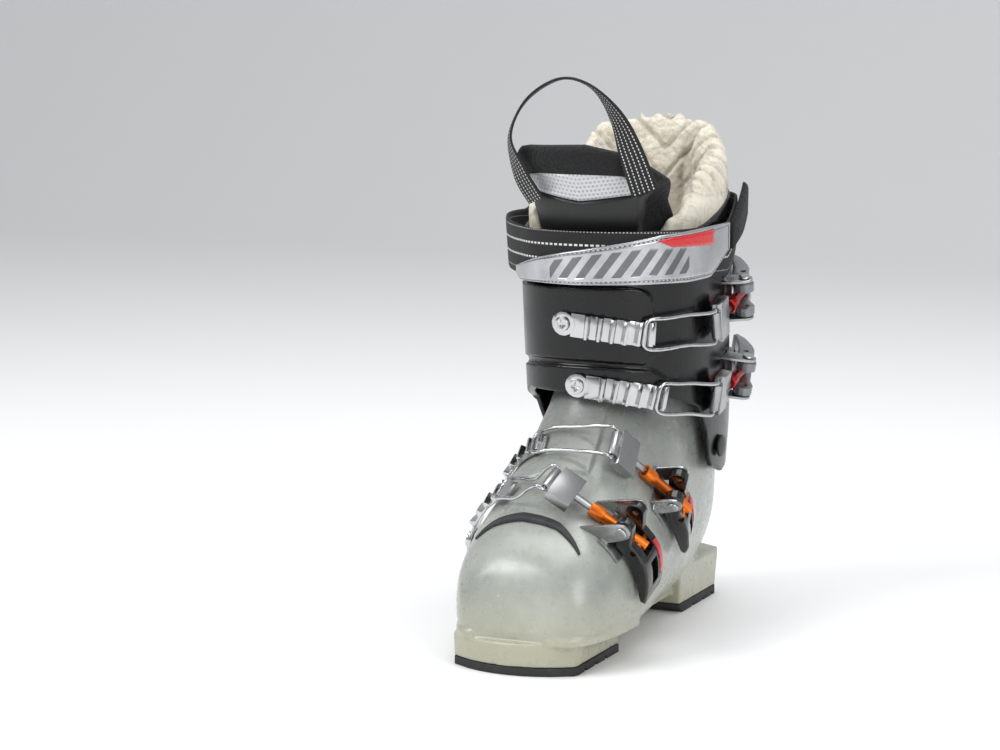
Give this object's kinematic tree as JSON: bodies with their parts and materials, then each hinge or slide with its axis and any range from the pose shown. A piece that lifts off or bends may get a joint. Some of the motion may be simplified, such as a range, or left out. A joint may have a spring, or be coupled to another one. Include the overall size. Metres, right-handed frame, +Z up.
{
  "type": "alpine ski boot",
  "caption": "Front-entry alpine ski boot with hinged cuff, fur-lined liner, power strap, pull loop and toothed-rack lever buckles.",
  "frame": {"origin": "on the ground plane, at the middle of the boot's outline seen from above", "axes": "+Z up, -Y towards the toe, +Y towards the heel, +X towards the buckle side, which is the outer side of a left foot"},
  "size_m": [0.15, 0.2786, 0.3427],
  "materials": {
    "shell_plastic": "translucent polyurethane, light satin with scuffs",
    "sole_rubber": "matte, scuffed",
    "cuff_plastic": "satin black",
    "seal_rubber": "matte",
    "board_plastic": "matte",
    "liner_fur": "long cream pile with thin grey feather lines",
    "footbed_felt": "felt",
    "black_fleece": "brushed fleece",
    "silver_mesh": "perforated, slight sheen",
    "black_softshell": "smooth knit",
    "black_webbing": "woven with white dashes",
    "badge_silver": "moulded, metallic satin",
    "red_gloss": "gloss",
    "polished_steel": "polished",
    "cast_zinc": "matte cast",
    "dark_metal": "dark satin",
    "barrel_orange": "anodised, satin",
    "barrel_red": "anodised, satin",
    "lever_black": "satin",
    "lever_grey": "satin metallic",
    "inlay_red": "satin",
    "inlay_grey": "satin"
  },
  "bodies": {
    "shell": {"lower_shell": "shell_plastic", "toe_sole_pad": "sole_rubber", "heel_sole_pad": "sole_rubber", "throat_seal": "seal_rubber", "bootboard": "board_plastic", "liner_foot": "liner_fur", "insole": "footbed_felt", "cuff_pivot_outer": "dark_metal", "cuff_pivot_inner": "dark_metal", "toe_rack": "polished_steel", "toe_rack_screw": "polished_steel", "toe_bracket": "cast_zinc", "toe_pin": "polished_steel", "instep_rack": "polished_steel", "instep_rack_screw": "polished_steel", "instep_bracket": "cast_zinc", "instep_pin": "polished_steel"},
    "cuff": {"cuff": "cuff_plastic", "liner_cuff": "liner_fur", "tongue": "black_fleece", "tongue_upper_panel": "silver_mesh", "tongue_lower_panel": "black_softshell", "power_strap": "black_webbing", "strap_rivet": "polished_steel", "strap_end": "black_fleece", "strap_badge": "badge_silver", "badge_inset": "red_gloss", "pull_loop": "black_webbing", "lower_cuff_rack": "polished_steel", "lower_cuff_rack_screw": "polished_steel", "lower_cuff_bracket": "cast_zinc", "lower_cuff_pin": "polished_steel", "upper_cuff_rack": "polished_steel", "upper_cuff_rack_screw": "polished_steel", "upper_cuff_bracket": "cast_zinc", "upper_cuff_pin": "polished_steel"},
    "toe_lever": {"toe_lever": "lever_black", "toe_lever_inlay": "inlay_red"},
    "toe_link": {"toe_adjuster": "barrel_orange", "toe_block": "cast_zinc"},
    "toe_bail": {"toe_bail": "polished_steel"},
    "instep_lever": {"instep_lever": "lever_black", "instep_lever_inlay": "inlay_red"},
    "instep_link": {"instep_adjuster": "barrel_orange", "instep_block": "cast_zinc"},
    "instep_bail": {"instep_bail": "polished_steel"},
    "lower_cuff_lever": {"lower_cuff_lever": "lever_grey", "lower_cuff_lever_inlay": "inlay_grey"},
    "lower_cuff_link": {"lower_cuff_adjuster": "barrel_red", "lower_cuff_block": "cast_zinc"},
    "lower_cuff_bail": {"lower_cuff_bail": "polished_steel"},
    "upper_cuff_lever": {"upper_cuff_lever": "lever_grey", "upper_cuff_lever_inlay": "inlay_grey"},
    "upper_cuff_link": {"upper_cuff_adjuster": "barrel_red", "upper_cuff_block": "cast_zinc"},
    "upper_cuff_bail": {"upper_cuff_bail": "polished_steel"}
  },
  "joints": [
    {"name": "cuff_flex", "type": "hinge", "parent": "shell", "child": "cuff", "pos_m": [0, 0.06515, 0.108], "axis": [1, 0, 0], "range_deg": [0, 4], "stiffness_Nm_per_rad": 90},
    {"name": "toe_lever_pivot", "type": "hinge", "parent": "shell", "child": "toe_lever", "pos_m": [0.05417, -0.08709, 0.08729], "axis": [-0.0969, -0.8896, -0.4463], "range_deg": [0, 100]},
    {"name": "toe_link_pin", "type": "hinge", "parent": "toe_lever", "child": "toe_link", "pos_m": [0.05766, -0.07993, 0.07227], "axis": [-0.0969, -0.8896, -0.4463], "range_deg": [-122, 0]},
    {"name": "toe_bail_hinge", "type": "hinge", "parent": "toe_link", "child": "toe_bail", "pos_m": [0.00551, -0.09238, 0.1084], "axis": [-0.0969, -0.8896, -0.4463], "range_deg": [-62, 0]},
    {"name": "instep_lever_pivot", "type": "hinge", "parent": "shell", "child": "instep_lever", "pos_m": [0.05683, -0.01762, 0.09414], "axis": [0.1039, -0.7222, -0.6838], "range_deg": [0, 100]},
    {"name": "instep_link_pin", "type": "hinge", "parent": "instep_lever", "child": "instep_link", "pos_m": [0.05738, -0.0059, 0.08184], "axis": [0.1039, -0.7222, -0.6838], "range_deg": [-122, 0]},
    {"name": "instep_bail_hinge", "type": "hinge", "parent": "instep_link", "child": "instep_bail", "pos_m": [0.02887, -0.05015, 0.12425], "axis": [0.1039, -0.7222, -0.6838], "range_deg": [-62, 0]},
    {"name": "lower_cuff_lever_pivot", "type": "hinge", "parent": "cuff", "child": "lower_cuff_lever", "pos_m": [0.06687, 0.07742, 0.15081], "axis": [-0.2102, 0.1796, -0.961], "range_deg": [0, 100]},
    {"name": "lower_cuff_link_pin", "type": "hinge", "parent": "lower_cuff_lever", "child": "lower_cuff_link", "pos_m": [0.06092, 0.09173, 0.15479], "axis": [-0.2102, 0.1796, -0.961], "range_deg": [-122, 0]},
    {"name": "lower_cuff_bail_hinge", "type": "hinge", "parent": "lower_cuff_link", "child": "lower_cuff_bail", "pos_m": [0.06297, 0.03366, 0.14349], "axis": [-0.2102, 0.1796, -0.961], "range_deg": [-62, 0]},
    {"name": "upper_cuff_lever_pivot", "type": "hinge", "parent": "cuff", "child": "upper_cuff_lever", "pos_m": [0.06817, 0.07198, 0.20192], "axis": [-0.0594, 0.2925, -0.9544], "range_deg": [0, 100]},
    {"name": "upper_cuff_link_pin", "type": "hinge", "parent": "upper_cuff_lever", "child": "upper_cuff_link", "pos_m": [0.06227, 0.0861, 0.20661], "axis": [-0.0594, 0.2925, -0.9544], "range_deg": [-122, 0]},
    {"name": "upper_cuff_bail_hinge", "type": "hinge", "parent": "upper_cuff_link", "child": "upper_cuff_bail", "pos_m": [0.06408, 0.02951, 0.18916], "axis": [-0.0594, 0.2925, -0.9544], "range_deg": [-62, 0]}
  ],
  "couplings": [
    {"joint": "toe_link_pin", "follows": "toe_lever_pivot", "ratio": -1.2},
    {"joint": "toe_bail_hinge", "follows": "toe_lever_pivot", "ratio": -0.6},
    {"joint": "instep_link_pin", "follows": "instep_lever_pivot", "ratio": -1.2},
    {"joint": "instep_bail_hinge", "follows": "instep_lever_pivot", "ratio": -0.6},
    {"joint": "lower_cuff_link_pin", "follows": "lower_cuff_lever_pivot", "ratio": -1.2},
    {"joint": "lower_cuff_bail_hinge", "follows": "lower_cuff_lever_pivot", "ratio": -0.6},
    {"joint": "upper_cuff_link_pin", "follows": "upper_cuff_lever_pivot", "ratio": -1.2},
    {"joint": "upper_cuff_bail_hinge", "follows": "upper_cuff_lever_pivot", "ratio": -0.6}
  ]
}
